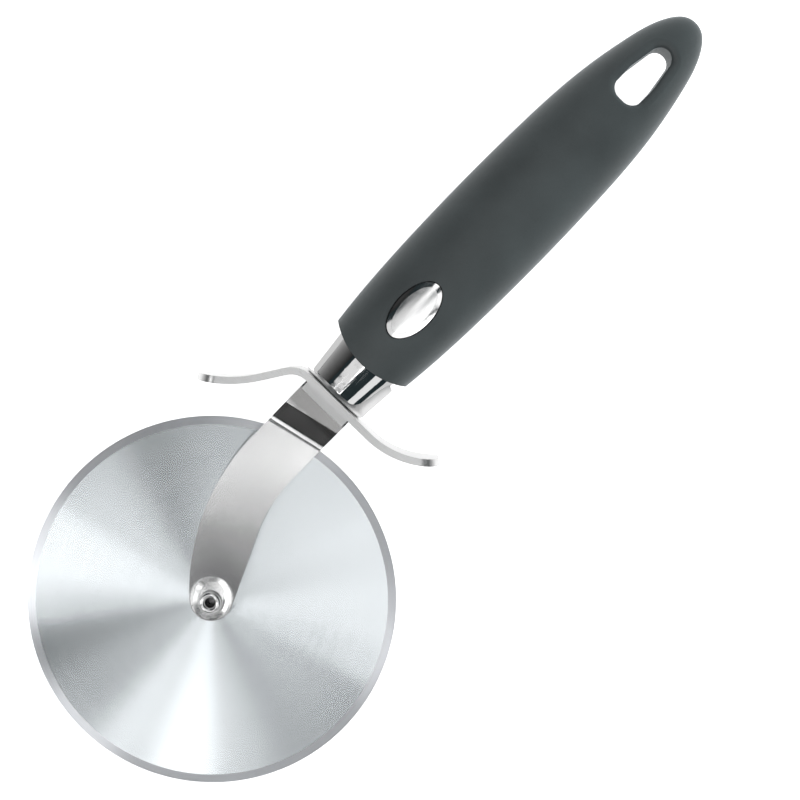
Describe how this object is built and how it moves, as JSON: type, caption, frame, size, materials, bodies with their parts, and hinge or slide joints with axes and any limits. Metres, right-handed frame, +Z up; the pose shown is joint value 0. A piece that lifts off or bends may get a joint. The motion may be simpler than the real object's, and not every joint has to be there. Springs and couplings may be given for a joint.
{
  "type": "pizza cutter wheel",
  "caption": "Hand-held pizza cutter: a bevelled steel wheel turning in a bent steel fork, with an S-shaped finger guard, a tapered ferrule and a soft grip with a hanging hole.",
  "frame": {"origin": "on the table, under the middle of the part's length and of the wheel's width, as it lies flat", "axes": "+X along the handle towards its tip, +Y across the wheel towards the high wing of the guard, +Z up along the wheel's axle, towards the side with the badge"},
  "size_m": [0.2558, 0.1016, 0.022],
  "materials": {
    "blade_steel": "satin, brushed in circles",
    "fork_steel": "satin, brushed along the arms",
    "guard_steel": "satin, brushed edges",
    "rivet_steel": "bright, formed",
    "sleeve_steel": "turned",
    "bolt_steel": "zinc plated",
    "ferrule_chrome": "mirror polished",
    "badge_chrome": "mirror polished",
    "plate_chrome": "bright, bare",
    "grip_rubber": "matte, soft touch",
    "core_plastic": "moulded",
    "washer_nylon": "natural nylon",
    "insert_brass": "turned",
    "adhesive_foam": "foam pad"
  },
  "bodies": {
    "handle_frame": {"axle_sleeve": "sleeve_steel", "axle_rivet": "rivet_steel", "fork": "fork_steel", "fork_welds": "fork_steel", "finger_guard": "guard_steel", "ferrule": "ferrule_chrome", "handle_core": "core_plastic", "grip_shell": "grip_rubber", "badge_bezel": "badge_chrome", "badge_plate": "plate_chrome", "badge_adhesive": "adhesive_foam", "tang_bolt": "bolt_steel", "lock_washer": "bolt_steel", "threaded_insert": "insert_brass"},
    "cutting_wheel": {"blade": "blade_steel", "front_washer": "washer_nylon", "back_washer": "washer_nylon"}
  },
  "joints": [
    {"name": "blade_spin", "type": "hinge", "parent": "handle_frame", "child": "cutting_wheel", "pos_m": [-0.0771, 0, 0.011], "axis": [0, 0, 1], "continuous": true}
  ]
}
